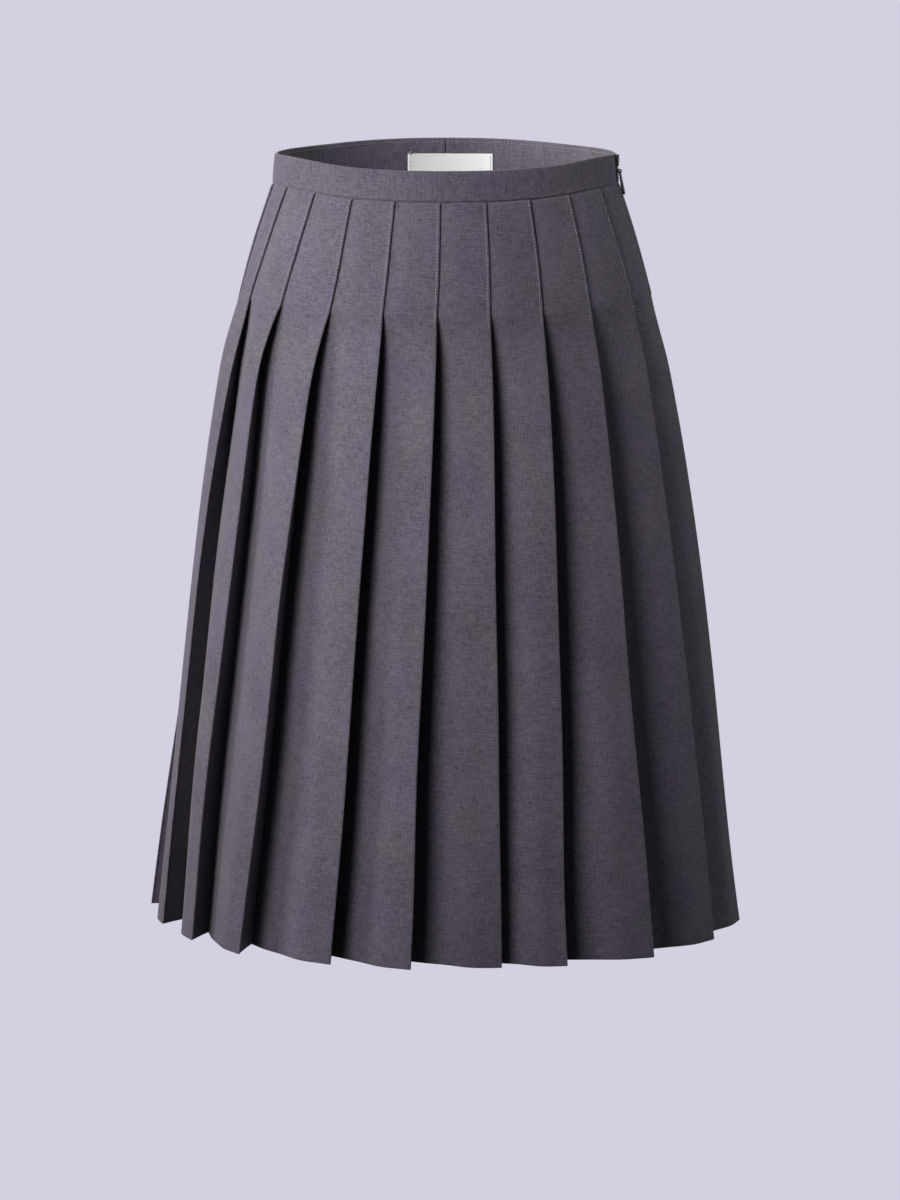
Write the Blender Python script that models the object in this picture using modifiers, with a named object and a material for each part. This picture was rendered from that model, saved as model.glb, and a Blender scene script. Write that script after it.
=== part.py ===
"""Pleated midi skirt, worn form with no wearer: knife-pleated front and back,
waistband, bare label and side zip with a swinging pull tab.

Metres, +Z up. The origin is the centre of the waist. The front faces -Y and the zip
is at +X. Lengths in the tables are millimetres and are scaled once by MM.
"""
import math

import bmesh
import bpy
import numpy as np
from mathutils import Matrix, Vector

MM = 0.001

# Cloth and seams
CLOTH = 1.0
LAYER_GAP = 0.3
SEAM_GAP = 0.3
LAYER_STEP = CLOTH + LAYER_GAP
FLAT_DEPTH = 2 * LAYER_STEP
WELD = 0.02

# Pleats: knife pleats turned one way, folds at the end of each face
PLEATS = 22
UNDERLAY_WAIST = 24.0
UNDERLAY_HIP = 27.0
FOLD_NOSE = LAYER_STEP / 2

# How high the pleats stand when open, how soon they do, and how much they vary
OPEN_DEPTH = 22.5
OPENING_LENGTH = 42.0
OPENING_POWER = 0.8
HEIGHT_WAVE = 0.05
WAVE_LENGTH = 90.0
WAVE_STEP = 1.9

# Waistband
BAND_HEIGHT = 22.0
BAND_THICK = 2.2
BAND_HALF_WIDTH = 130.0
BAND_HALF_DEPTH = 104.0
BAND_FLARE = 0.08
HEM_ROLL = 0.010

# Waist line: tilted back up, front corners lifted and back corners lowered by bell
# curves of the angle round the body, each with its height, middle and width
WAIST_TILT = 0.0605
FRONT_LIFT = (3.6, 62.0, 24.0)
BACK_DIP = (-1.3, 130.0, 22.0)

# Rings of the skirt below the band. drop: below the waist line at the sides.
# half_width, front, back: outer size. shift: how far down its change of pleat
# places has gone, 0 at the waist, 1 at the stitch end, 2 at mid length, 3 at the hem.
RING_COLUMNS = ("drop", "half_width", "front", "back", "shift")
RINGS = (
    (11.3, 131.2, 104.6, 105.5, 0.0),
    (50.0, 143.8, 113.5, 117.5, 0.4),
    (95.0, 156.3, 122.6, 129.2, 1.0),
    (118.0, 162.3, 127.3, 134.5, 1.07),
    (140.0, 168.2, 131.5, 139.0, 1.16),
    (180.0, 176.0, 138.5, 146.0, 1.33),
    (235.0, 185.2, 146.5, 154.0, 1.57),
    (300.0, 194.8, 155.5, 161.5, 1.85),
    (370.0, 204.0, 163.5, 168.5, 2.13),
    (440.0, 213.0, 171.5, 175.5, 2.42),
    (510.0, 221.8, 179.5, 183.0, 2.71),
    (576.0, 230.0, 186.5, 190.0, 3.0),
)

# Fold edges: how far each stands from an even spacing, along the ring, at the stitch
# end, at mid length and at the hem, how far it stands proud at the hem, and how far
# its return tucks back under it where the pleat is open.
FOLD_COLUMNS = ("at_stitch", "at_middle", "at_hem", "proud", "tuck")
FOLDS = (
    (-17.0, -37.0, -38.0, 0.0, 5.0),
    (-16.0, -38.0, -31.0, -4.0, 4.0),
    (-13.0, -28.0, -36.0, 1.0, 5.0),
    (-8.0, -25.5, -39.5, 8.0, 12.0),
    (-6.5, -15.5, -25.0, 3.0, 10.0),
    (-6.5, -15.6, -25.5, 3.0, 9.0),
    (-7.5, -12.5, -17.0, -4.0, 10.0),
    (-7.5, -16.2, -25.0, 0.0, 8.0),
    (-6.5, -11.2, -15.0, 3.0, 9.0),
    (0.0, -2.0, -1.0, 0.0, 10.0),
    (2.0, 3.0, 7.0, 1.0, 9.0),
    (1.0, 1.0, 3.0, -2.0, 8.0),
    (-1.0, -4.0, -7.0, 2.0, 10.0),
    (-3.0, -8.0, -14.0, 0.0, 9.0),
    (-4.0, -10.0, -12.0, 3.0, 7.0),
    (-5.0, -15.0, -23.0, -3.0, 10.0),
    (-6.0, -15.0, -17.0, 2.0, 9.0),
    (-7.0, -19.0, -28.0, 0.0, 8.0),
    (-8.0, -20.0, -24.0, 3.0, 10.0),
    (-10.0, -25.0, -36.0, -2.0, 9.0),
    (-12.0, -29.0, -33.0, 2.0, 7.0),
    (-15.0, -34.0, -42.0, 0.0, 8.0),
)
WAIST_SHIFT = -4.0
CENTRE_FOLD = 5
FIRST_BACK_FOLD = 11

POINTS_A_PLEAT = 11
SEAM_POINT = 2

# Label
LABEL_WIDTH = 68.0
LABEL_HEIGHT = 25.0
LABEL_CENTRE = 3.7
LABEL_TOP = 1.5

# Zip. Insets are inwards from the band's outer face, outsets outwards from it.
ZIP_OPENING = 3.2
ZIP_DEPTH = 180.0
TAPE_WIDTH = 12.0
CHAIN_WIDTH = 3.0
STRIP_THICK = 1.0
STRIP_INSET = 3.4
STRIP_LEVEL = -LAYER_STEP
END_INSET = 2.6
END_OUTSET = 0.9
END_WIDTH = 1.1
END_PARTING = 0.4
END_TOP = 10.7
END_BOTTOM = 2.0
SLIDER_WIDTH = 2.6
SLIDER_OUTSET = 1.0
SLIDER_TOP = 1.7
SLIDER_BOTTOM = -5.3
LUG_RADIUS = 1.7
LUG_THICK = 1.0
LUG_BORE = 0.85
AXIS_OUTSET = 2.6
AXIS_HEIGHT = -1.8
PULL_LENGTH = 18.0
PULL_TOP_WIDTH = 3.6
PULL_LOW_WIDTH = 4.8
PULL_TOP_THICK = 1.1
PULL_LOW_THICK = 2.2
PULL_WINDOW_WIDTH = 1.7
PULL_WINDOW_LENGTH = 2.4
PULL_ROD = 0.5
PULL_LEAN = 10.5
CURVE_SIDES = 24


def ring_table():
    """The rings as one array for each named column."""
    columns = np.array(RINGS).T
    return dict(zip(RING_COLUMNS, columns))


def fold_table():
    """The folds as one array for each named column."""
    columns = np.array(FOLDS).T
    return dict(zip(FOLD_COLUMNS, columns))


class Ring:
    """A ring round the body: half ellipses of one width and two depths.

    A place on it is a length along the ring from the centre front, positive towards
    the zip side, read from a table of summed chords.
    """

    def __init__(self, half_width, front, back):
        self.half_width, self.front, self.back = half_width, front, back
        self.angles = np.linspace(-math.pi, math.pi, 1441)
        x, y = self.at_angle(self.angles)
        steps = np.hypot(np.diff(x), np.diff(y))
        lengths = np.concatenate(([0.0], np.cumsum(steps)))
        self.total = lengths[-1]
        self.lengths = lengths - np.interp(0.0, self.angles, lengths)

    def depth(self, angle):
        return np.where(np.cos(angle) > 0, self.front, self.back)

    def at_angle(self, angle):
        return self.half_width * np.sin(angle), -self.depth(angle) * np.cos(angle)

    def length_at(self, angle):
        return np.interp(angle, self.angles, self.lengths)

    def point(self, length, out):
        """Plan point at a length along the ring, moved out along its normal."""
        wrapped = (length + self.total / 2) % self.total - self.total / 2
        angle = np.interp(wrapped, self.lengths, self.angles)
        x, y = self.at_angle(angle)
        normal_x = np.sin(angle) / self.half_width
        normal_y = -np.cos(angle) / self.depth(angle)
        size = np.hypot(normal_x, normal_y)
        return x + out * normal_x / size, y + out * normal_y / size


def pleat_depth(down):
    """Height of a pleat at a distance below its stitching.

    It nears its full height by an exponential of a power of the distance.
    """
    grown = (max(down, 0.0) / OPENING_LENGTH) ** OPENING_POWER
    return FLAT_DEPTH + (OPEN_DEPTH - FLAT_DEPTH) * (1 - math.exp(-grown))


def fold_places(ring, shift):
    """Lengths along the ring of every fold edge, from the table of folds."""
    folds = fold_table()
    stages = np.stack((np.full(PLEATS, WAIST_SHIFT), folds["at_stitch"],
                       folds["at_middle"], folds["at_hem"]))
    lower = min(int(shift), 2)
    part = shift - lower
    offsets = stages[lower] * (1 - part) + stages[lower + 1] * part
    even = (np.arange(PLEATS) - CENTRE_FOLD) * ring.total / PLEATS
    return even + offsets


def spacing_before(places, total):
    """Distance from each fold edge back to the one before it, round the ring."""
    return places - np.concatenate(([places[-1] - total], places[:-1]))


def mean_ring(row, depth):
    """The ring half way between the inner folds and the outer folds."""
    inset = depth / 2
    return Ring(row["half_width"] - inset, row["front"] - inset, row["back"] - inset)


def stitched_sizes(rows, stitch_row):
    """Face length of each pleat: its pitch and underlay at the stitch end."""
    ring = mean_ring(rows[stitch_row], FLAT_DEPTH)
    places = fold_places(ring, rows[stitch_row]["shift"])
    return spacing_before(places, ring.total) + UNDERLAY_HIP


def ring_rows():
    """The rings as one row of named values each, and the row at the stitch end."""
    table = ring_table()
    rows = [{key: float(table[key][i]) for key in RING_COLUMNS} for i in range(len(RINGS))]
    stitch_row = next(i for i, row in enumerate(rows) if row["shift"] == 1.0)
    return rows, stitch_row


def pleat_lines(row, faces, stitch_drop):
    """The cloth round one ring, unrolled: where each point lies along it and how high.

    A pleat runs from its inner fold, out along its face to its fold edge, and back
    along its return. Stitched, it lies in three level layers. The higher it stands,
    the more its face goes from those layers to a straight line.
    """
    down = row["drop"] - stitch_drop
    depth = pleat_depth(down)
    ring = mean_ring(row, depth)
    edges = fold_places(ring, row["shift"])
    if down > 0:
        share = (depth - FLAT_DEPTH) / (OPEN_DEPTH - FLAT_DEPTH)
        wave = np.sin(down / WAVE_LENGTH + WAVE_STEP * np.arange(PLEATS))
        heights = depth * (1 + HEIGHT_WAVE * share * wave)
        overlap = UNDERLAY_HIP + (fold_table()["tuck"] - UNDERLAY_HIP) * share ** 1.5
    else:
        grown = row["drop"] / stitch_drop
        overlap = np.full(PLEATS, UNDERLAY_WAIST + (UNDERLAY_HIP - UNDERLAY_WAIST) * grown)
        heights = np.full(PLEATS, FLAT_DEPTH)
    next_inner = edges - overlap
    inner = np.concatenate(([next_inner[-1] - ring.total], next_inner[:-1]))
    last_edge = np.concatenate(([edges[-1] - ring.total], edges[:-1]))
    opened = 1 - FLAT_DEPTH / heights
    lower = np.minimum(heights, np.roll(heights, 1))

    # Places along the face when it lies flat, and as shares of its cloth
    flat = np.stack((inner, (inner + last_edge) / 2, last_edge,
                     next_inner, (next_inner + edges) / 2, edges))
    none = np.zeros(PLEATS)
    under = none + UNDERLAY_HIP
    cloth = np.stack((none, under / 2, under, faces - under, faces - under / 2, faces)) / faces
    straight = inner + (edges - inner) * cloth
    face_x = flat * (1 - opened) + straight * opened
    tucked_y = lower * cloth[:3] * (1 - FLAT_DEPTH / lower)
    shown_y = heights * (1 - opened + cloth[3:] * opened)
    top = heights - LAYER_STEP
    return_x = np.stack((edges, (edges + next_inner) / 2, next_inner))
    return_y = np.stack((top, (top + LAYER_STEP) / 2, none + LAYER_STEP))
    nose_x, nose_y = edges + FOLD_NOSE, heights - FOLD_NOSE
    tuck_x, tuck_y = next_inner - FOLD_NOSE, none + FOLD_NOSE
    along = np.vstack((face_x, nose_x, return_x, tuck_x)).T
    level = np.vstack((tucked_y, shown_y, nose_y, return_y, tuck_y)).T

    # The fold edge stands proud by its own share, and so does the face near it
    to_hem = max(down, 0.0) / (RINGS[-1][0] - stitch_drop)
    lift = np.array((0.0, 0.2, 0.4, 0.6, 0.8, 1.0, 1.0, 1.0, 0.5, 0.0, 0.0))
    level = level + (fold_table()["proud"] * to_hem)[:, None] * lift
    return ring, depth, along, level


def waist_rise(x, y):
    """How far the waist line stands above level at a place."""
    angle = np.degrees(np.arctan2(np.abs(x) / BAND_HALF_WIDTH, -y / BAND_HALF_DEPTH))
    rise = WAIST_TILT * y
    for height, middle, width in (FRONT_LIFT, BACK_DIP):
        rise = rise + height * np.exp(-((angle - middle) / width) ** 2)
    return rise


def height_at(drop, x, y):
    """Height of a ring: level at the hem, like the waist line at the top."""
    share = np.clip((drop - BAND_HEIGHT / 2) / (RINGS[-1][0] - BAND_HEIGHT / 2), 0, 1)
    return -drop + waist_rise(x, y) * (1 - share) ** 1.5 - HEM_ROLL * x * share


def offset_both_ways(x, y, half):
    """A plan line moved half a thickness to each side, with mitred corners."""
    dx, dy = np.diff(x), np.diff(y)
    size = np.hypot(dx, dy)
    side_x, side_y = dy / size, -dx / size
    sum_x = np.concatenate((2 * side_x[:1], side_x[:-1] + side_x[1:], 2 * side_x[-1:]))
    sum_y = np.concatenate((2 * side_y[:1], side_y[:-1] + side_y[1:], 2 * side_y[-1:]))
    stretch = 2 / np.maximum(sum_x ** 2 + sum_y ** 2, 1.0)
    move_x, move_y = half * sum_x * stretch, half * sum_y * stretch
    return (x + move_x, y + move_y), (x - move_x, y - move_y)


def wall_mesh(name, outer, inner):
    """A closed wall from two grids of points in millimetres, rows down, columns along."""
    rows, columns = outer.shape[:2]
    points = np.concatenate((outer.reshape(-1, 3), inner.reshape(-1, 3))) * MM
    index = np.arange(rows * columns).reshape(rows, columns)
    back = index + rows * columns

    def quads(a, b):
        return np.stack((a[:-1], a[1:], b[1:], b[:-1]), axis=-1).reshape(-1, 4)

    faces = [quads(index[:, i], index[:, i + 1]) for i in range(columns - 1)]
    faces += [quads(back[:, i + 1], back[:, i]) for i in range(columns - 1)]
    faces += [quads(index[0], back[0]), quads(back[-1], index[-1])]
    faces += [quads(back[:, 0], index[:, 0]), quads(index[:, -1], back[:, -1])]
    mesh = bpy.data.meshes.new(name)
    mesh.from_pydata(points.tolist(), [], np.concatenate(faces).tolist())
    shape = bmesh.new()
    shape.from_mesh(mesh)
    bmesh.ops.remove_doubles(shape, verts=shape.verts, dist=WELD * MM)
    bmesh.ops.recalc_face_normals(shape, faces=shape.faces)
    shape.to_mesh(mesh)
    shape.free()
    return mesh


def add_part(name, mesh, material, collection):
    part = bpy.data.objects.new(name, mesh)
    mesh.materials.append(material)
    collection.objects.link(part)
    return part


def smooth(part, angle=40.0):
    part.data.shade_smooth()
    part.data.set_sharp_from_angle(angle=math.radians(angle))


def make_material(name, colour, roughness, metallic=0.0):
    material = bpy.data.materials.new(name)
    material.use_nodes = True
    shader = material.node_tree.nodes["Principled BSDF"]
    shader.inputs["Base Color"].default_value = (*colour, 1.0)
    shader.inputs["Roughness"].default_value = roughness
    shader.inputs["Metallic"].default_value = metallic
    return material


def between_seams(x, y, start, end):
    """Points from one seam to the other, each end half a gap short of its seam.

    A seam parts the cloth half way between its own point and the next.
    """
    x, y = x[start:end + 2].copy(), y[start:end + 2].copy()
    for at, step in ((0, 1), (-1, -1)):
        here = np.array((x[at], y[at]))
        there = np.array((x[at + step], y[at + step]))
        run = (there - here) / np.linalg.norm(there - here)
        x[at], y[at] = (here + there) / 2 + run * SEAM_GAP / 2
    return x, y


def skirt_walls():
    """Front and back walls, parted at each side on a face, just behind a fold edge."""
    rows, stitch_row = ring_rows()
    stitch_drop = rows[stitch_row]["drop"]
    faces = stitched_sizes(rows, stitch_row)
    whole = PLEATS * POINTS_A_PLEAT
    left_seam, right_seam = SEAM_POINT, FIRST_BACK_FOLD * POINTS_A_PLEAT + SEAM_POINT
    spans = {"skirt_front": (left_seam, right_seam), "skirt_back": (right_seam, whole + left_seam)}
    walls = {}
    for name, (start, end) in spans.items():
        outer, inner = [], []
        for row in rows:
            ring, depth, along, level = pleat_lines(row, faces, stitch_drop)
            x, y = ring.point(along.reshape(-1), level.reshape(-1) - depth / 2)
            x, y = np.tile(x, 2), np.tile(y, 2)
            line_x, line_y = between_seams(x, y, start, end)
            sides = offset_both_ways(line_x, line_y, CLOTH / 2)
            for grid, (side_x, side_y) in zip((outer, inner), sides):
                side_z = height_at(row["drop"], side_x, side_y)
                grid.append(np.stack((side_x, side_y, side_z), axis=-1))
        walls[name] = np.array(outer), np.array(inner)
    return walls


def seam_angle(fold):
    """Angle round the waist of the seam on the face of one fold."""
    rows, stitch_row = ring_rows()
    faces = stitched_sizes(rows, stitch_row)
    ring, _, along, _ = pleat_lines(rows[0], faces, rows[stitch_row]["drop"])
    place = along[fold, SEAM_POINT:SEAM_POINT + 2].mean()
    x, y = ring.point(np.array([place]), 0.0)
    return math.atan2(x[0] / ring.half_width, -y[0] / ring.front)


def band_ring(inset, drop=0.0):
    """The waistband's outer ring moved in, a little wider low down than at its top."""
    grow = BAND_FLARE * drop - inset
    return Ring(BAND_HALF_WIDTH + grow, BAND_HALF_DEPTH + grow, BAND_HALF_DEPTH + grow)


def tilted(x, y, z):
    return np.stack((x, y, z + waist_rise(x, y)), axis=-1)


def band_wall(start, end, start_gap, end_gap, columns):
    """One stretch of the band: outer and inner grids that meet at its rounded top."""
    half, round_over = BAND_HEIGHT / 2, BAND_THICK / 2
    turn = np.radians((90.0, 45.0, 0.0))
    inset = np.append(round_over * (1 - np.cos(turn)), (0.0, 0.0))
    rise = np.append(half - round_over * (1 - np.sin(turn)), (0.0, -half))
    grids = []
    for side in (1, -1):
        grid = []
        for move, z in zip(inset, rise):
            ring = band_ring(move if side > 0 else BAND_THICK - move, -z)
            first = ring.length_at(start) + start_gap
            last = ring.length_at(end) - end_gap
            x, y = ring.point(np.linspace(first, last, columns), 0.0)
            grid.append(tilted(x, y, z))
        grids.append(np.array(grid))
    return grids


def label_wall():
    """A flat strip on the inside of the back, its face along the band's inner ring."""
    across = np.linspace(-LABEL_WIDTH / 2, LABEL_WIDTH / 2, 13) + LABEL_CENTRE
    heights = np.linspace(LABEL_TOP, LABEL_TOP - LABEL_HEIGHT, 4)
    grids = []
    for inset in (BAND_THICK + SEAM_GAP, BAND_THICK + SEAM_GAP + CLOTH):
        ring = band_ring(inset)
        x, y = ring.point(ring.total / 2 - across, 0.0)
        grids.append(np.array([tilted(x, y, z) for z in heights]))
    return grids


def zip_strip(zip_angle, near, far):
    """A strip behind the zip's seam, between two distances from it along the ring."""
    rows, stitch_row = ring_rows()
    faces = stitched_sizes(rows, stitch_row)
    offsets = np.linspace(near, far, 4)
    outer, inner = [], []
    for z in (END_TOP, -BAND_HEIGHT / 2):
        for grid, side in ((outer, -1), (inner, 1)):
            ring = band_ring(STRIP_INSET + side * STRIP_THICK / 2, -z)
            x, y = ring.point(ring.length_at(zip_angle) + offsets, 0.0)
            grid.append(tilted(x, y, z))
    for row in rows:
        if row["drop"] > ZIP_DEPTH:
            break
        ring, depth, along, _ = pleat_lines(row, faces, rows[stitch_row]["drop"])
        place = along[FIRST_BACK_FOLD, SEAM_POINT:SEAM_POINT + 2].mean()
        for grid, side in ((outer, 1), (inner, -1)):
            out = STRIP_LEVEL + side * STRIP_THICK / 2 - depth / 2
            x, y = ring.point(place + offsets, out)
            grid.append(np.stack((x, y, height_at(row["drop"], x, y)), axis=-1))
    return np.array(outer), np.array(inner)


def zip_frame(zip_angle):
    """Frame on the band's outer face at the zip: X out of the face, Y towards the back."""
    ring = band_ring(0.0, -AXIS_HEIGHT)
    place = ring.length_at(zip_angle)
    x, y = ring.point(np.array([place]), 0.0)
    out_x, out_y = ring.point(np.array([place]), 1.0)
    out = Vector((out_x[0] - x[0], out_y[0] - y[0], 0.0)).normalized()
    up = Vector((0.0, 0.0, 1.0))
    frame = Matrix((out, up.cross(out), up)).transposed().to_4x4()
    frame.translation = Vector((x[0], y[0], waist_rise(x, y)[0])) * MM
    return frame


def block(name, low, high, collection, material=None):
    """A box between two corners in millimetres."""
    mesh = bpy.data.meshes.new(name)
    shape = bmesh.new()
    bmesh.ops.create_cube(shape, size=1.0)
    low, high = Vector(low), Vector(high)
    for vertex in shape.verts:
        middle = (low + high) / 2
        size = high - low
        vertex.co = Vector(m + c * d for m, c, d in zip(middle, vertex.co, size)) * MM
    shape.to_mesh(mesh)
    shape.free()
    part = bpy.data.objects.new(name, mesh)
    collection.objects.link(part)
    if material:
        mesh.materials.append(material)
    return part


def rod(name, radius, length, centre, collection):
    """A cylinder along Y, in millimetres."""
    mesh = bpy.data.meshes.new(name)
    shape = bmesh.new()
    bmesh.ops.create_cone(shape, cap_ends=True, segments=CURVE_SIDES, radius1=radius * MM,
                          radius2=radius * MM, depth=length * MM)
    turn = Matrix.Rotation(math.pi / 2, 4, "X")
    bmesh.ops.transform(shape, matrix=Matrix.Translation(Vector(centre) * MM) @ turn,
                        verts=shape.verts)
    shape.to_mesh(mesh)
    shape.free()
    part = bpy.data.objects.new(name, mesh)
    collection.objects.link(part)
    return part


def combine(part, cutter, operation):
    """A live Boolean with a hidden cutter."""
    cutter.hide_render = True
    cutter.display_type = "WIRE"
    step = part.modifiers.new(cutter.name, "BOOLEAN")
    step.operation = operation
    step.object = cutter


def ease_edges(part, width, segments=1):
    edge = part.modifiers.new("edges", "BEVEL")
    edge.width = width * MM
    edge.segments = segments
    edge.limit_method = "ANGLE"


def build_slider(frame, metal, parts, cutters):
    """Slider body in the band's opening, with a bored lug that carries the pull tab."""
    half = SLIDER_WIDTH / 2
    slider = block("zip_slider", (-END_INSET, -half, SLIDER_BOTTOM),
                   (SLIDER_OUTSET, half, SLIDER_TOP), parts, metal)
    ease_edges(slider, 0.3)
    axis = (AXIS_OUTSET, 0.0, AXIS_HEIGHT)
    lug = rod("slider_lug", LUG_RADIUS, LUG_THICK, axis, cutters)
    foot = block("slider_foot", (0.0, -LUG_THICK / 2, AXIS_HEIGHT - LUG_RADIUS),
                 (AXIS_OUTSET, LUG_THICK / 2, AXIS_HEIGHT + LUG_RADIUS), cutters)
    bore = rod("slider_bore", LUG_BORE, 2 * SLIDER_WIDTH, axis, cutters)
    for piece, operation in ((foot, "UNION"), (lug, "UNION"), (bore, "DIFFERENCE")):
        combine(slider, piece, operation)
    for piece in (slider, lug, foot, bore):
        piece.matrix_world = frame


def pull_outline():
    """The tab's outline below its axis: straight sides that widen to a round end."""
    low = PULL_LOW_WIDTH / 2
    turn = np.linspace(0.0, math.pi, CURVE_SIDES // 2 + 1)
    y = np.concatenate(((PULL_TOP_WIDTH / 2,), low * np.cos(turn), (-PULL_TOP_WIDTH / 2,)))
    z = np.concatenate(((0.0,), low - PULL_LENGTH - low * np.sin(turn), (0.0,)))
    return y, z


def build_pull(frame, metal, parts, cutters):
    """Tab with a window at its top, closed by a rod that runs through the lug.

    It grows thicker from its top to its round end.
    """
    y, z = pull_outline()
    half = (PULL_TOP_THICK + (PULL_TOP_THICK - PULL_LOW_THICK) * z / PULL_LENGTH) / 2
    mesh = bpy.data.meshes.new("zip_pull")
    shape = bmesh.new()
    back, front = ([shape.verts.new(Vector((side * h, b, c)) * MM) for h, b, c in zip(half, y, z)]
                   for side in (-1, 1))
    shape.faces.new(back)
    shape.faces.new(front)
    for here, there in zip(range(len(y)), (*range(1, len(y)), 0)):
        shape.faces.new((back[here], back[there], front[there], front[here]))
    bmesh.ops.recalc_face_normals(shape, faces=shape.faces)
    shape.to_mesh(mesh)
    shape.free()
    pull = add_part("zip_pull", mesh, metal, parts)
    reach = 2 * PULL_TOP_THICK
    window = block("pull_window", (-reach, -PULL_WINDOW_WIDTH / 2, -PULL_WINDOW_LENGTH),
                   (reach, PULL_WINDOW_WIDTH / 2, reach / 2), cutters)
    bar = rod("pull_rod", PULL_ROD, PULL_TOP_WIDTH, (0.0, 0.0, 0.0), cutters)
    combine(pull, window, "DIFFERENCE")
    combine(pull, bar, "UNION")
    lean = Matrix.Rotation(-math.radians(PULL_LEAN), 4, "Y")
    place = frame @ Matrix.Translation(Vector((AXIS_OUTSET, 0.0, AXIS_HEIGHT)) * MM) @ lean
    for piece in (pull, window, bar):
        piece.matrix_world = place


def build_zip(zip_angle, tape, chain, metal, parts, cutters):
    gap = SEAM_GAP
    near, far = CHAIN_WIDTH / 2 + gap, CHAIN_WIDTH / 2 + gap + TAPE_WIDTH
    strips = (("zip_tape_front", -far, -near, tape), ("zip_tape_back", near, far, tape),
              ("zip_chain", -CHAIN_WIDTH / 2, CHAIN_WIDTH / 2, chain))
    for name, low, high, material in strips:
        outer, inner = zip_strip(zip_angle, low, high)
        smooth(add_part(name, wall_mesh(name, outer, inner), material, parts))
    frame = zip_frame(zip_angle)
    low, high = END_PARTING / 2, END_PARTING / 2 + END_WIDTH
    for name, side_low, side_high in (("zip_end_front", -high, -low), ("zip_end_back", low, high)):
        end = block(name, (-END_INSET, side_low, END_BOTTOM), (END_OUTSET, side_high, END_TOP),
                    parts, chain)
        end.matrix_world = frame
    build_slider(frame, metal, parts, cutters)
    build_pull(frame, metal, parts, cutters)


def build_cloth(plain_angle, zip_angle, cloth, satin, parts):
    for name, (outer, inner) in skirt_walls().items():
        smooth(add_part(name, wall_mesh(name, outer, inner), cloth, parts))
    seam, opening = SEAM_GAP / 2, ZIP_OPENING / 2
    stretches = (
        ("waistband_front", plain_angle, zip_angle, seam, opening, 41),
        ("waistband_back_left", zip_angle, math.pi, opening, seam, 23),
        ("waistband_back_right", -math.pi, plain_angle, seam, seam, 19),
    )
    for name, start, end, start_gap, end_gap, columns in stretches:
        outer, inner = band_wall(start, end, start_gap, end_gap, columns)
        smooth(add_part(name, wall_mesh(name, outer, inner), cloth, parts))
    outer, inner = label_wall()
    smooth(add_part("label", wall_mesh("label", outer, inner), satin, parts))


def main():
    for existing in list(bpy.data.objects):
        bpy.data.objects.remove(existing, do_unlink=True)
    parts = bpy.data.collections.new("pleated_skirt")
    cutters = bpy.data.collections.new("cutters")
    for collection in (parts, cutters):
        bpy.context.scene.collection.children.link(collection)
    cloth = make_material("tropical_wool", (0.105, 0.090, 0.120), 0.85)
    satin = make_material("label_satin", (0.78, 0.77, 0.79), 0.45)
    tape = make_material("zip_tape", (0.030, 0.028, 0.034), 0.80)
    coil = make_material("zip_coil", (0.012, 0.012, 0.014), 0.45)
    metal = make_material("lacquered_zip_metal", (0.020, 0.020, 0.024), 0.35, 0.6)
    plain_angle, zip_angle = seam_angle(0), seam_angle(FIRST_BACK_FOLD)
    build_cloth(plain_angle, zip_angle, cloth, satin, parts)
    build_zip(zip_angle, tape, coil, metal, parts, cutters)


main()
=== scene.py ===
"""Pleated midi skirt as it looks: worsted cloth, waistband, bare label and side zip.

The pieces follow the same sizes as the part's solids. Tables are in millimetres, and
one factor, MM, makes them metres. +Z is up, the front faces -Y, the zip is at +X.
"""
import math

import bmesh
import bpy
import numpy as np
from mathutils import Matrix, Vector


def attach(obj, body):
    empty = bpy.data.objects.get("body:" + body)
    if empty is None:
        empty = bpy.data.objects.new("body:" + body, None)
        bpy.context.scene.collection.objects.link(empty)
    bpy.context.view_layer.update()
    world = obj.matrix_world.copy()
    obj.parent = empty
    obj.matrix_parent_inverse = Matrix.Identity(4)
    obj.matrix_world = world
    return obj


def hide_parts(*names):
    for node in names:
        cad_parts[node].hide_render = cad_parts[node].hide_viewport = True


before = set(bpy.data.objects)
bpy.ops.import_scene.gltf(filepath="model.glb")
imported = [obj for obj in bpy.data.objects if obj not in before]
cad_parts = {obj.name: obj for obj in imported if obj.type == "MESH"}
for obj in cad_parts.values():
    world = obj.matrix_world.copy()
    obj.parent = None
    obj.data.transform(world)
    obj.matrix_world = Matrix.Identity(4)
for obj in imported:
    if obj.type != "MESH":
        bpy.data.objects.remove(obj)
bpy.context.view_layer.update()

MM = 0.001

# Middle to middle of two layers that lie on each other; the solids have thicker ones
LAYER_STEP = 0.57
FLAT_DEPTH = 2 * LAYER_STEP

# Sizes that the solids have too
PLEATS = 22
UNDERLAY_WAIST = 24.0
UNDERLAY_HIP = 27.0
BAND_HEIGHT = 22.0
BAND_THICK = 2.2
BAND_HALF_WIDTH = 130.0
BAND_HALF_DEPTH = 104.0
BAND_FLARE = 0.08
HEM_ROLL = 0.010
HEM_DROP = 576.0
STITCH_DROP = 95.0

# Waist line: its tilt back up, and bell curves of the angle round the body that lift its
# front corners and lower its back ones, each with a height, middle and width
WAIST_TILT = 0.0605
FRONT_LIFT = (3.6, 62.0, 24.0)
BACK_DIP = (-1.3, 130.0, 22.0)

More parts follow.
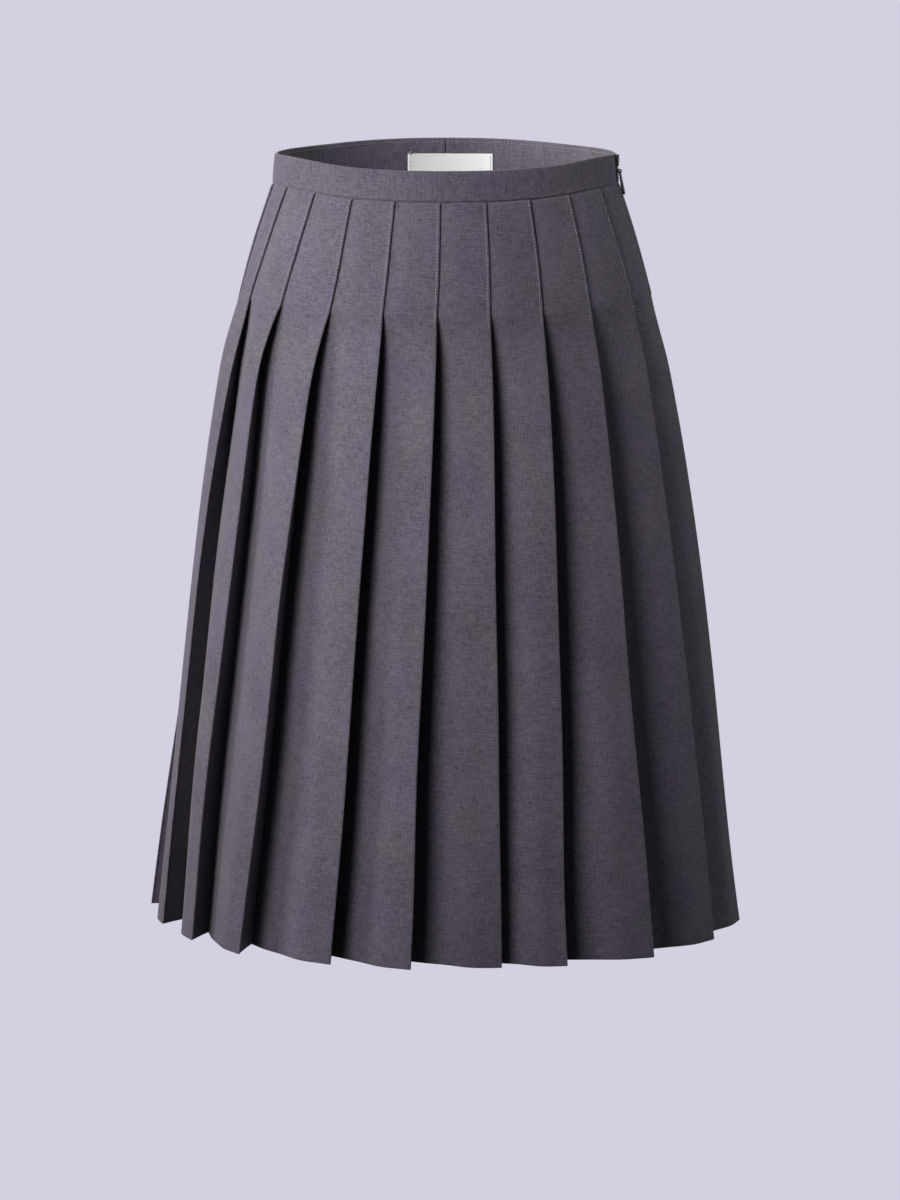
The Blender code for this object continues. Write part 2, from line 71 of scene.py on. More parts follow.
RING_COLUMNS = ("drop", "half_width", "front", "back", "shift")
RINGS = (
    (11.3, 131.2, 104.6, 105.5, 0.0),
    (50.0, 143.8, 113.5, 117.5, 0.4),
    (95.0, 156.3, 122.6, 129.2, 1.0),
    (118.0, 162.3, 127.3, 134.5, 1.07),
    (140.0, 168.2, 131.5, 139.0, 1.16),
    (180.0, 176.0, 138.5, 146.0, 1.33),
    (235.0, 185.2, 146.5, 154.0, 1.57),
    (300.0, 194.8, 155.5, 161.5, 1.85),
    (370.0, 204.0, 163.5, 168.5, 2.13),
    (440.0, 213.0, 171.5, 175.5, 2.42),
    (510.0, 221.8, 179.5, 183.0, 2.71),
    (576.0, 230.0, 186.5, 190.0, 3.0),
)
# How far each fold edge stands from an even spacing, how proud it is at the hem, and
# how far its return tucks back under it where the pleat is open
FOLD_COLUMNS = ("at_stitch", "at_middle", "at_hem", "proud", "tuck")
FOLDS = (
    (-20.0, -49.0, -39.0, 0.0, 4.0),
    (-16.0, -38.0, -31.0, -4.0, 10.0),
    (-13.0, -26.5, -36.0, 1.0, 13.0),
    (-8.0, -24.5, -39.5, 8.0, 12.0),
    (-6.5, -15.5, -25.0, 3.0, 10.0),
    (-6.5, -15.6, -25.5, 3.0, 9.0),
    (-7.5, -12.5, -17.0, -4.0, 10.0),
    (-7.5, -16.2, -25.0, 0.0, 8.0),
    (-6.5, -11.2, -15.0, 3.0, 9.0),
    (0.0, -2.0, -1.0, 0.0, 10.0),
    (2.0, 3.0, 7.0, 1.0, 9.0),
    (1.0, 1.0, 3.0, -2.0, 8.0),
    (-1.0, -4.0, -7.0, 2.0, 10.0),
    (-3.0, -8.0, -14.0, 0.0, 9.0),
    (-4.0, -10.0, -12.0, 3.0, 7.0),
    (-5.0, -15.0, -23.0, -3.0, 10.0),
    (-6.0, -15.0, -17.0, 2.0, 9.0),
    (-7.0, -19.0, -28.0, 0.0, 8.0),
    (-8.0, -20.0, -24.0, 3.0, 10.0),
    (-10.0, -25.0, -36.0, -2.0, 9.0),
    (-12.0, -29.0, -33.0, 2.0, 7.0),
    (-15.0, -34.0, -42.0, 0.0, 8.0),
)

# Where some pleats hang closed near the hip: how far the tuck of a fold stands above the
# others, and how far a face swells between its folds
RAISED_TUCKS = {0: 19.0, 1: 7.0}
FULL_FACES = {1: 4.0}
# Folds that swing back just below their stitching, and how far down they swing most
EARLY_SWINGS = {2: -10.0, 3: -6.0}
SWING_DOWN = 60.0

# Folds wander as they hang: how far, over what length down, and step from pleat to pleat
FOLD_WANDERS = ((0.8, 61.0, 2.1), (0.5, 33.0, 4.7))
# Slow swells of the hanging cloth: height, waves round the body, length down and phase
SWELLS = ((0.9, 3, 97.0, 0.6), (0.63, 7, -71.0, 2.2), (0.4, 17, 46.0, 0.0), (0.28, 29, -58.0, 1.3))

WAIST_SHIFT = -4.0
CENTRE_FOLD = 5
FIRST_BACK_FOLD = 11
TO_HEM = HEM_DROP - STITCH_DROP

# How deep the pleats stand open, how soon they do, how much that varies from pleat to
# pleat, and how late their returns tuck back
OPEN_DEPTH = 22.5
OPENING_LENGTH = 42.0
OPENING_POWER = 0.8
HEIGHT_WAVE = 0.05
WAVE_LENGTH = 90.0
WAVE_STEP = 1.9
TUCK_POWER = 1.5

# The drawn cloth is finer than the solids' wall
CLOTH = 0.55
HEM_LAYER = 0.55
HEM_ALLOWANCE = 38.0
SEAM_PARTING = 0.02

# Columns of the grid after each role, and the roles after which they crowd together
STEPS_AFTER = (3, 3, 8, 4, 9, 2, 2, 3, 3, 2, 2)
CROWDED = {2: 3.0, 4: 0.5}
ROLES = len(STEPS_AFTER)
COLUMNS = sum(STEPS_AFTER)
SEAM_ROLE, EDGE_ROLE, NOSE_ROLE = 2, 5, 6
# Each role's share of a rise of the fold edge, of its own tuck and of the tuck before it
TO_EDGE = np.array((0.0, 0.2, 0.4, 0.6, 0.8, 1.0, 1.0, 1.0, 0.5, 0.0, 0.0))
TO_TUCK = np.array((0.0,) * 8 + (0.5, 1.0, 1.0))
FROM_TUCK = np.array((1.0, 0.8, 0.6, 0.4, 0.2) + (0.0,) * 6)

# Edge stitching 2 mm from each fold. The fold's lip has a height, a start and a width;
# the thread's pinch and the seam's groove are bells of a height, middle and width.
THREAD_RADIUS = 0.28
THREAD_RINGS, THREAD_SIDES = 5, 5
STITCH_INSET = 2.0
STITCH_COLUMN = sum(STEPS_AFTER[:EDGE_ROLE]) - 4
EDGE_LIP = (0.42, STITCH_INSET - 0.5, 0.22)
STITCH_PINCH = (-0.32, STITCH_INSET, 0.8)
SEAM_GROOVE = (-0.65, 0.3, 0.4)
SEWN_FADE = 8.0

# Where the cloth draws in under the band, how full the faces hang at the hem, and the
# depth by which a fuller face has its swell
BAND_TUCK = (1.3, BAND_HEIGHT / 2, 1.35)
HEM_CROWN = 3.0
FULL_BY = 12.0

# Waistband: how far its inside laps over the seam, its swell and puckers, and the rows
# of its profile
INSIDE_LAP = 4.0
BAND_SWELL = 0.25
PUCKER = 0.12
OUTSIDE_LOW_ROW, OUTSIDE_TOP_ROW = 4, 15
INSIDE_TOP_ROW, INSIDE_LOW_ROW = 24, 34

LABEL_WIDTH = 68.0
LABEL_HEIGHT = 25.0
LABEL_CENTRE = 3.7
LABEL_TOP = -0.9
LABEL_THICK = 0.22
LABEL_BOW = 0.55

# Zip. The inset is inwards from the band's outer face, the gap is from the seam's middle
# to either end of the band, and heights are from the waist line.
ZIP_INSET = 3.2
ZIP_GAP = 1.3
SKIRT_ZIP_INSET = 0.9
ZIP_DEPTH = 180.0
END_TOP = 10.7
SLIDER_FOOT = -5.5
TAPE_NEAR, TAPE_FAR, TAPE_STEP = 1.8, 13.8, 4.0
COIL_PITCH = 0.72


def colour(code):
    """An sRGB hex code as linear red, green, blue and 1."""
    parts = np.array([int(code[i:i + 2], 16) for i in (1, 3, 5)]) / 255
    linear = np.where(parts <= 0.04045, parts / 12.92, ((parts + 0.055) / 1.055) ** 2.4)
    return (*linear.tolist(), 1.0)


def wire(tree, made, inputs):
    """Gives each named input of a shader node a value or a link."""
    for name, value in inputs.items():
        if isinstance(value, bpy.types.NodeSocket):
            tree.links.new(value, made.inputs[name])
        else:
            made.inputs[name].default_value = value


def node(tree, kind, inputs=None, **settings):
    """Adds a shader node with its settings, values and links."""
    made = tree.nodes.new("ShaderNode" + kind)
    for name, value in settings.items():
        setattr(made, name, value)
    wire(tree, made, inputs or {})
    return made


def new_material(name):
    material = bpy.data.materials.new(name)
    material.use_nodes = True
    return material, material.node_tree, material.node_tree.nodes["Principled BSDF"]


def worsted_wool(name, turned=False):
    """Tropical worsted wool, plain woven from two-tone yarns and pressed: short pale
    and dark streaks cross each other, over cloudy grey and violet patches, with a
    dry, matt face and a faint bloom at grazing angles.

    Real threads are 0.4 mm apart, too fine to show, so streaks are drawn 0.8 mm wide.
    """
    thread, streak, patch = 0.8, 7.0, 46.0
    material, tree, shader = new_material(name)
    place = node(tree, "UVMap", uv_map="cloth")
    if turned:
        place = node(tree, "Mapping", {"Vector": place.outputs[0], "Rotation": (0, 0, math.pi / 2)})

    def streaks(across, down, seed, detail=1.0):
        scaled = node(tree, "VectorMath", {0: place.outputs[0],
                                           1: (1000 / across, 1000 / down, 1.0)}, operation="MULTIPLY")
        moved = node(tree, "VectorMath", {0: scaled.outputs[0], 1: (seed, seed * 0.37, seed)},
                     operation="ADD")
        return node(tree, "TexNoise", {"Vector": moved.outputs[0], "Scale": 1.0, "Detail": detail,
                                       "Roughness": 0.6}).outputs["Fac"]

    warp, weft = streaks(thread, streak, 3.1), streaks(streak, thread, 11.7)
    slub = streaks(thread * 0.62, thread * 3.0, 23.3)
    cloud, tint = streaks(patch, patch * 1.3, 31.9, 2.0), streaks(patch * 0.8, patch * 0.9, 47.3, 1.0)
    both = node(tree, "Math", {0: warp, 1: weft}, operation="ADD")
    yarn = node(tree, "Math", {0: slub, 1: 0.45, 2: both.outputs[0]}, operation="MULTIPLY_ADD")
    tone = node(tree, "Math", {0: cloud, 1: 0.55, 2: yarn.outputs[0]}, operation="MULTIPLY_ADD")
    shade = node(tree, "MapRange", {"Value": tone.outputs[0], "From Min": 1.03, "From Max": 1.97})
    violet = node(tree, "Mix", {"Factor": shade.outputs[0], "A": colour("#38313f"),
                                "B": colour("#5d5666")}, data_type="RGBA")
    grey = node(tree, "Mix", {"Factor": shade.outputs[0], "A": colour("#38333a"),
                              "B": colour("#5f5961")}, data_type="RGBA")
    which = node(tree, "MapRange", {"Value": tint, "From Min": 0.3, "From Max": 0.7})
    face = node(tree, "Mix", {"Factor": which.outputs[0], "A": violet.outputs["Result"],
                              "B": grey.outputs["Result"]}, data_type="RGBA")
    dry = node(tree, "MapRange", {"Value": yarn.outputs[0], "From Min": 0.9, "From Max": 1.6,
                                  "To Min": 0.92, "To Max": 0.78})
    relief = node(tree, "Bump", {"Height": yarn.outputs[0], "Strength": 0.5, "Distance": 0.0001})
    wire(tree, shader, {"Base Color": face.outputs["Result"], "Roughness": dry.outputs[0],
                        "Normal": relief.outputs[0], "Sheen Weight": 0.18,
                        "Sheen Roughness": 0.45, "Specular IOR Level": 0.25})
    return material


def woven_satin(name):
    """White polyester satin label cloth, calendered: fine lines along its length, soft
    silky highlights. Lines are drawn 0.9 mm apart; real ones are 0.15 mm.
    """
    material, tree, shader = new_material(name)
    place = node(tree, "UVMap", uv_map="cloth")
    lines = node(tree, "VectorMath", {0: place.outputs[0], 1: (90.0, 1100.0, 1.0)},
                 operation="MULTIPLY")
    float_threads = node(tree, "TexNoise", {"Vector": lines.outputs[0], "Scale": 1.0, "Detail": 1.0})
    face = node(tree, "Mix", {"Factor": float_threads.outputs["Fac"], "A": colour("#c2c2c3"),
                              "B": colour("#dededf")}, data_type="RGBA")
    relief = node(tree, "Bump", {"Height": float_threads.outputs["Fac"], "Strength": 0.4,
                                 "Distance": 0.0001})
    wire(tree, shader, {"Base Color": face.outputs["Result"], "Normal": relief.outputs[0],
                        "Roughness": 0.42, "Sheen Weight": 0.2})
    return material


def spun_thread(name, dark, light):
    """Spun polyester sewing thread: a twisted, slightly hairy yarn, so each stitch is
    flecked along its length. Flecks are 0.3 mm.
    """
    material, tree, shader = new_material(name)
    place = node(tree, "TexCoord")
    fleck = node(tree, "TexNoise", {"Vector": place.outputs["Object"], "Scale": 3300.0, "Detail": 1.0})
    face = node(tree, "Mix", {"Factor": fleck.outputs["Fac"], "A": colour(dark),
                              "B": colour(light)}, data_type="RGBA")
    wire(tree, shader, {"Base Color": face.outputs["Result"], "Roughness": 0.6, "Sheen Weight": 0.15})
    return material


def zip_tape_twill(name):
    """Black polyester zip tape, woven in herringbone: slanted ribs 1.2 mm apart that
    change direction every 6 mm, almost no gloss.
    """
    material, tree, shader = new_material(name)
    place = node(tree, "UVMap", uv_map="cloth")
    parts = node(tree, "SeparateXYZ", {0: place.outputs[0]})
    folded = node(tree, "Math", {0: parts.outputs[0], 1: 0.006}, operation="PINGPONG")
    slanted = node(tree, "Math", {0: folded.outputs[0], 1: parts.outputs[1]}, operation="ADD")
    turned = node(tree, "Math", {0: slanted.outputs[0], 1: math.tau / 0.0012}, operation="MULTIPLY")
    rib = node(tree, "Math", {0: turned.outputs[0]}, operation="SINE")
    high = node(tree, "MapRange", {"Value": rib.outputs[0], "From Min": -1.0, "From Max": 1.0})
    face = node(tree, "Mix", {"Factor": high.outputs[0], "A": colour("#151418"),
                              "B": colour("#2a282e")}, data_type="RGBA")
    relief = node(tree, "Bump", {"Height": high.outputs[0], "Strength": 0.5, "Distance": 0.00015})
    wire(tree, shader, {"Base Color": face.outputs["Result"], "Normal": relief.outputs[0],
                        "Roughness": 0.8})
    return material


def moulded_coil(name):
    """Black nylon monofilament, wound and set by heat: smooth, with soft glints and
    faint scuffs 2 mm long.
    """
    material, tree, shader = new_material(name)
    place = node(tree, "TexCoord")
    scuff = node(tree, "TexNoise", {"Vector": place.outputs["Object"], "Scale": 500.0, "Detail": 3.0})
    face = node(tree, "Mix", {"Factor": scuff.outputs["Fac"], "A": colour("#0d0d10"),
                              "B": colour("#1d1c21")}, data_type="RGBA")
    rough = node(tree, "MapRange", {"Value": scuff.outputs["Fac"], "To Min": 0.3, "To Max": 0.55})
    wire(tree, shader, {"Base Color": face.outputs["Result"], "Roughness": rough.outputs[0],
                        "IOR": 1.53})
    return material


def lacquered_zinc(name):
    """Die-cast zinc under black lacquer: a thin glossy coat with an orange-peel skin of
    0.8 mm and patches that handling has dulled.
    """
    material, tree, shader = new_material(name)
    place = node(tree, "TexCoord")
    peel = node(tree, "TexNoise", {"Vector": place.outputs["Object"], "Scale": 1250.0, "Detail": 1.0})
    worn = node(tree, "TexNoise", {"Vector": place.outputs["Object"], "Scale": 260.0, "Detail": 3.0})
    face = node(tree, "Mix", {"Factor": worn.outputs["Fac"], "A": colour("#0b0b0d"),
                              "B": colour("#1c1b20")}, data_type="RGBA")
    rough = node(tree, "MapRange", {"Value": worn.outputs["Fac"], "From Min": 0.3, "From Max": 0.7,
                                    "To Min": 0.3, "To Max": 0.5})
    relief = node(tree, "Bump", {"Height": peel.outputs["Fac"], "Strength": 0.15, "Distance": 0.0001})
    wire(tree, shader, {"Base Color": face.outputs["Result"], "Roughness": rough.outputs[0],
                        "Normal": relief.outputs[0], "Specular IOR Level": 0.3,
                        "Coat Weight": 0.12, "Coat Roughness": 0.15})
    return material


def cubic(t, start, end, leave, arrive):
    """The cubic from start to end that leaves and arrives with the given tangents."""
    return ((2 * t ** 3 - 3 * t ** 2 + 1) * start + (t ** 3 - 2 * t ** 2 + t) * leave
            + (3 * t ** 2 - 2 * t ** 3) * end + (t ** 3 - t ** 2) * arrive)


def unit(vectors):
    return vectors / np.linalg.norm(vectors, axis=-1, keepdims=True)


def bell(at, height, middle, width):
    return height * np.exp(-((at - middle) / width) ** 2)


def eased(at, knots, values):
    """A smooth curve through table values: a cubic in each span, whose slope at a knot
    is the mean slope of the spans beside it.
    """
    slopes = np.gradient(values, knots, axis=0)
    span = int(np.clip(np.searchsorted(knots, at) - 1, 0, len(knots) - 2))
    size = knots[span + 1] - knots[span]
    t = (at - knots[span]) / size
    return cubic(t, values[span], values[span + 1], size * slopes[span], size * slopes[span + 1])


class Ring:
    """A ring round the body: half ellipses of one width and two depths. A place on it is
    a length along it from the centre front, positive towards the zip.
    """

    def __init__(self, half_width, front, back):
        self.half_width, self.front, self.back = half_width, front, back
        self.angles = np.linspace(-math.pi, math.pi, 1441)
        x, y = self.at_angle(self.angles)
        lengths = np.concatenate(([0.0], np.cumsum(np.hypot(np.diff(x), np.diff(y)))))
        self.total = lengths[-1]
        self.lengths = lengths - np.interp(0.0, self.angles, lengths)

    def depth(self, angle):
        return np.where(np.cos(angle) > 0, self.front, self.back)

    def at_angle(self, angle):
        return self.half_width * np.sin(angle), -self.depth(angle) * np.cos(angle)

    def length_at(self, angle):
        return np.interp(angle, self.angles, self.lengths)

    def point(self, length, out):
        """Plan point at a length along the ring, moved out along its normal."""
        wrapped = (length + self.total / 2) % self.total - self.total / 2
        angle = np.interp(wrapped, self.lengths, self.angles)
        x, y = self.at_angle(angle)
        normal_x, normal_y = np.sin(angle) / self.half_width, -np.cos(angle) / self.depth(angle)
        size = np.hypot(normal_x, normal_y)
        return x + out * normal_x / size, y + out * normal_y / size


def ring_row(drop):
    """The ring table's values at a drop, read from smooth curves through its rows."""
    table = np.array(RINGS)
    values = eased(min(drop, HEM_DROP), table[:, 0], table)
    row = dict(zip(RING_COLUMNS, values))
    row["drop"] = drop
    return row


def mean_ring(row, depth):
    return Ring(row["half_width"] - depth / 2, row["front"] - depth / 2, row["back"] - depth / 2)


def per_pleat(few):
    """A few pleats' numbers as an array for all of them."""
    numbers = np.zeros(PLEATS)
    numbers[list(few)] = list(few.values())
    return numbers


def fold_column(name):
    """One column of the fold table, a number for each pleat."""
    return np.array(FOLDS)[:, FOLD_COLUMNS.index(name)]


def fold_places(ring, shift, drop):
    """Lengths along the ring of every fold edge, with a faint wander as they hang."""
    stages = np.stack([np.full(PLEATS, WAIST_SHIFT)] + [fold_column(name) for name in FOLD_COLUMNS[:3]])
    offsets = eased(shift, np.arange(4.0), stages)
    number = np.arange(PLEATS)
    below = np.clip((drop - STITCH_DROP) / TO_HEM, 0, 1)
    swung = max(drop - STITCH_DROP, 0.0) / SWING_DOWN
    offsets = offsets + per_pleat(EARLY_SWINGS) * swung * math.exp(1 - swung)
    wander = sum(far * np.sin(drop / length + step * number) for far, length, step in FOLD_WANDERS)
    return (number - CENTRE_FOLD) * ring.total / PLEATS + offsets + wander * below


def spacing_before(places, total):
    return places - np.concatenate(([places[-1] - total], places[:-1]))


def pleat_depth(down):
    """Height of a pleat at a distance below its stitching: it nears its full depth by
    an exponential of a power of the distance.
    """
    grown = (max(down, 0.0) / OPENING_LENGTH) ** OPENING_POWER
    return FLAT_DEPTH + (OPEN_DEPTH - FLAT_DEPTH) * (1 - math.exp(-grown))


def face_lengths():
    """Face length of each pleat: its pitch and underlay at the stitch end."""
    row = ring_row(STITCH_DROP)
    ring = mean_ring(row, FLAT_DEPTH)
    return spacing_before(fold_places(ring, row["shift"], 0.0), ring.total) + UNDERLAY_HIP


FACES = face_lengths()


def pleat_roles(row):
    """Eleven points a pleat, on the plan line of the cloth: place along the ring and
    height. The face runs from the inner fold (0) under the last edge (2) to its fold
    edge (5), round its nose (6) and back along the return (7 to 9) to the tuck (10).
    """
    down = row["drop"] - STITCH_DROP
    depth = pleat_depth(down)
    ring = mean_ring(row, depth)
    edges = fold_places(ring, row["shift"], row["drop"])
    if down > 0:
        number = np.arange(PLEATS)
        share = (depth - FLAT_DEPTH) / (OPEN_DEPTH - FLAT_DEPTH)
        heights = depth * (1 + HEIGHT_WAVE * share * np.sin(down / WAVE_LENGTH + WAVE_STEP * number))
        overlap = UNDERLAY_HIP + (fold_column("tuck") - UNDERLAY_HIP) * share ** TUCK_POWER
    else:
        grown = row["drop"] / STITCH_DROP
        overlap = np.full(PLEATS, UNDERLAY_WAIST + (UNDERLAY_HIP - UNDERLAY_WAIST) * grown)
        heights = np.full(PLEATS, FLAT_DEPTH)
    next_inner = edges - overlap
    inner = np.concatenate(([next_inner[-1] - ring.total], next_inner[:-1]))
    last_edge = np.concatenate(([edges[-1] - ring.total], edges[:-1]))
    opened = 1 - FLAT_DEPTH / heights
    lower = np.minimum(heights, np.roll(heights, 1))
    flat = np.stack((inner, (inner + last_edge) / 2, last_edge,
                     next_inner, (next_inner + edges) / 2, edges))
    none, under = np.zeros(PLEATS), np.full(PLEATS, UNDERLAY_HIP)
    cloth = np.stack((none, under / 2, under, FACES - under, FACES - under / 2, FACES)) / FACES
    face_x = flat * (1 - opened) + (inner + (edges - inner) * cloth) * opened
    tucked_y = lower * cloth[:3] * (1 - FLAT_DEPTH / lower)
    shown_y = heights * (1 - opened + cloth[3:] * opened)
    top, nose = heights - LAYER_STEP, LAYER_STEP / 2
    return_x = np.stack((edges, (edges + next_inner) / 2, next_inner))
    return_y = np.stack((top, (top + LAYER_STEP) / 2, none + LAYER_STEP))
    along = np.vstack((face_x, edges + nose, return_x, next_inner - nose)).T
    level = np.vstack((tucked_y, shown_y, heights - nose, return_y, none + nose)).T
    to_hem = min(max(down, 0.0) / TO_HEM, 1.0)
    level = level + (fold_column("proud") * to_hem)[:, None] * TO_EDGE
    if down > 0:
        raised = per_pleat(RAISED_TUCKS) * share * (1 - to_hem)
        level = level + raised[:, None] * TO_TUCK + np.roll(raised, 1)[:, None] * FROM_TUCK
    return ring, depth, edges, along, level


def rounded(points, period):
    """A smooth closed line through points, sampled STEPS_AFTER each role: in each span
    a cubic whose end tangents come from its neighbours, timed by the root of the
    distance between points, so that it never swings out at a tight fold.
    """
    shift = np.array((period, 0.0))
    before = np.concatenate((points[-1:] - shift, points[:-1]))
    after = np.concatenate((points[1:], points[:1] + shift))
    later = np.concatenate((points[2:], points[:2] + shift))
    t0, t1, t2 = (np.sqrt(np.linalg.norm(b - a, axis=1, keepdims=True)) + 1e-6
                  for a, b in ((before, points), (points, after), (after, later)))
    leave = t1 * ((points - before) / t0 - (after - before) / (t0 + t1) + (after - points) / t1)
    arrive = t1 * ((after - points) / t1 - (later - points) / (t1 + t2) + (later - after) / t2)
    grouped = [part.reshape(PLEATS, -1, 2) for part in (points, after, leave, arrive)]
    samples = []
    for role, steps in enumerate(STEPS_AFTER):
        start, end, out, into = (part[:, role, None] for part in grouped)
        t = span_shares(role, steps)[None, :, None]
        samples.append(cubic(t, start, end, out, into))
    return np.concatenate(samples, axis=1).reshape(-1, 2)


def span_shares(role, steps):
    """Shares of the way between two roles, crowded towards a fold edge where one is."""
    even = np.arange(steps) / steps
    power = CROWDED.get(role, 1.0)
    return even ** power if power >= 1 else 1 - (1 - even) ** (1 / power)


def role_of_columns():
    """Which role, as a running number from 0 to 11, each column of a pleat has."""
    return np.concatenate([role + span_shares(role, steps) for role, steps in enumerate(STEPS_AFTER)])


def waist_rise(x, y):
    """How far the waist line stands above level: tilted back up, its front corners
    lifted and its back ones lowered by bell curves of the angle round the body.
    """
    angle = np.degrees(np.arctan2(abs(x) / BAND_HALF_WIDTH, -y / BAND_HALF_DEPTH))
    return WAIST_TILT * y + bell(angle, *FRONT_LIFT) + bell(angle, *BACK_DIP)


def height_at(drop, x, y):
    """Height of a ring: level at the hem, tilted with the waist at the top."""
    share = np.clip((drop - BAND_HEIGHT / 2) / (HEM_DROP - BAND_HEIGHT / 2), 0, 1)
    return -drop + waist_rise(x, y) * (1 - share) ** 1.5 - HEM_ROLL * x * share


def hang(angle, drop, to_hem):
    """Slow swells of the hanging cloth, in millimetres out: long sine waves round the
    body and down it, none at the waist. They depend on the place alone, so layers that
    lie on each other move together.
    """
    return to_hem * sum(height * np.sin(waves * angle + drop / length + phase)
                        for height, waves, length, phase in SWELLS)


def skirt_line(drop):
    """The cloth's plan line at one drop: the pleats' rounded section, full below, with
    lip, pinched stitching and seam groove above, laid along its ring.
    """
    row = ring_row(drop)
    ring, depth, edges, along, level = pleat_roles(row)
    line = rounded(np.stack((along.reshape(-1), level.reshape(-1)), axis=1), ring.total)
    along, level = line[:, 0].reshape(PLEATS, -1), line[:, 1].reshape(PLEATS, -1)
    role = role_of_columns()
    to_hem = np.clip((drop - STITCH_DROP) / TO_HEM, 0, 1)
    shown = np.clip((role - SEAM_ROLE) / (EDGE_ROLE - SEAM_ROLE), 0, 1)
    fuller = per_pleat(FULL_FACES)[:, None] * np.clip((depth - FLAT_DEPTH) / FULL_BY, 0, 1)
    crown = np.sin(math.pi * shown) ** 2 * (HEM_CROWN * to_hem + fuller * (1 - to_hem))
    sewn = 1 - np.clip((drop - STITCH_DROP) / SEWN_FADE, 0, 1)
    from_edge = edges[:, None] - along
    on_face = (role > SEAM_ROLE + 1) & (role < EDGE_ROLE)
    lip_height, lip_start, lip_width = EDGE_LIP
    lip = lip_height / (1 + np.exp((from_edge - lip_start) / lip_width)) * on_face
    pinch = bell(from_edge, *STITCH_PINCH) * on_face
    past_edge = along - (edges - spacing_before(edges, ring.total))[:, None]
    groove = bell(past_edge, *SEAM_GROOVE) * (role > SEAM_ROLE - 1) * (role <= SEAM_ROLE + 1)
    level = (level + crown + (lip + pinch + groove) * sewn).reshape(-1)
    along = along.reshape(-1)
    angle = along / ring.total * math.tau
    out = level - depth / 2 + hang(angle, drop, to_hem ** 1.2) - bell(drop, *BAND_TUCK)
    x, y = ring.point(along, out)
    return x, y


def plan_normals(x, y):
    """Unit normals of closed plan lines, one row each, from each point's neighbours."""
    dx, dy = np.roll(x, -1, 1) - np.roll(x, 1, 1), np.roll(y, -1, 1) - np.roll(y, 1, 1)
    size = np.hypot(dx, dy)
    return dy / size, -dx / size


def skirt_grid():
    """Mid-cloth plan points of every row, and each row's drop and share of the cloth's
    thickness. Rows crowd under the band, at the allowance's edge and round the hem.
    """
    under_band = (11.05, 11.5, 12.0, 12.6, 13.3, 14.4)
    allowance = HEM_DROP - HEM_ALLOWANCE + np.array((-0.6, 0.6))
    drops = np.concatenate((under_band, np.linspace(17, 98, 22), np.linspace(101, 150, 15),
                            np.linspace(158, 532, 40), allowance, np.linspace(546, 573, 5)))
    turn = np.radians((0.0, 30.0, 60.0, 90.0))
    half = (CLOTH + HEM_LAYER) / 2
    hem = HEM_DROP + 0.3 - half * (1 - np.sin(turn))
    lines = [skirt_line(drop) for drop in drops]
    last = skirt_line(HEM_DROP)
    x = np.array([line[0] for line in lines] + [last[0]] * len(hem))
    y = np.array([line[1] for line in lines] + [last[1]] * len(hem))
    drop = np.concatenate((drops, hem))
    squeeze = np.concatenate((np.ones(len(drops)), np.cos(turn)))
    return x, y, drop, squeeze


def shell(name, outer, inner, lengths, drops, material):
    """A thin closed skin from two grids of points in millimetres, rows down and columns
    along, with its cloth's own lengths in metres as the UV map.
    """
    rows, columns = outer.shape[:2]
    points = np.concatenate((outer.reshape(-1, 3), inner.reshape(-1, 3))) * MM
    index = np.arange(rows * columns).reshape(rows, columns)
    back = index + rows * columns

    def quads(a, b, c, d):
        return np.stack((a, b, c, d), axis=-1).reshape(-1, 4)

    faces = np.concatenate((
        quads(index[:-1, :-1], index[1:, :-1], index[1:, 1:], index[:-1, 1:]),
        quads(back[:-1, :-1], back[:-1, 1:], back[1:, 1:], back[1:, :-1]),
        quads(index[0, :-1], index[0, 1:], back[0, 1:], back[0, :-1]),
        quads(index[-1, 1:], index[-1, :-1], back[-1, :-1], back[-1, 1:]),
        quads(index[1:, 0], index[:-1, 0], back[:-1, 0], back[1:, 0]),
        quads(index[:-1, -1], index[1:, -1], back[1:, -1], back[:-1, -1])))
    mesh = bpy.data.meshes.new(name)
    mesh.from_pydata(points.tolist(), [], faces.tolist())
    u, v = np.broadcast_arrays(lengths[None, :], drops[:, None])
    flat = np.tile(np.stack((u, v), axis=-1).reshape(-1, 2), (2, 1)) * MM
    corner = np.zeros(len(mesh.loops), int)
    mesh.loops.foreach_get("vertex_index", corner)
    mesh.uv_layers.new(name="cloth").data.foreach_set("uv", flat[corner].reshape(-1))
    return finish_piece(name, mesh, material)


def finish_piece(name, mesh, material, sharp=55.0):
    """Merges doubles, turns faces outwards, and puts the mesh in an object."""
    shape = bmesh.new()
    shape.from_mesh(mesh)
    bmesh.ops.remove_doubles(shape, verts=shape.verts, dist=1e-6)
    bmesh.ops.recalc_face_normals(shape, faces=shape.faces)
    shape.to_mesh(mesh)
    shape.free()
    mesh.materials.append(material)
    mesh.shade_smooth()
    mesh.set_sharp_from_angle(angle=math.radians(sharp))
    piece = bpy.data.objects.new(name, mesh)
    bpy.context.scene.collection.objects.link(piece)
    return piece


def dress(piece, nodes, body="garment"):
    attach(piece, body)
    if nodes:
        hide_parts(*nodes)
    return piece


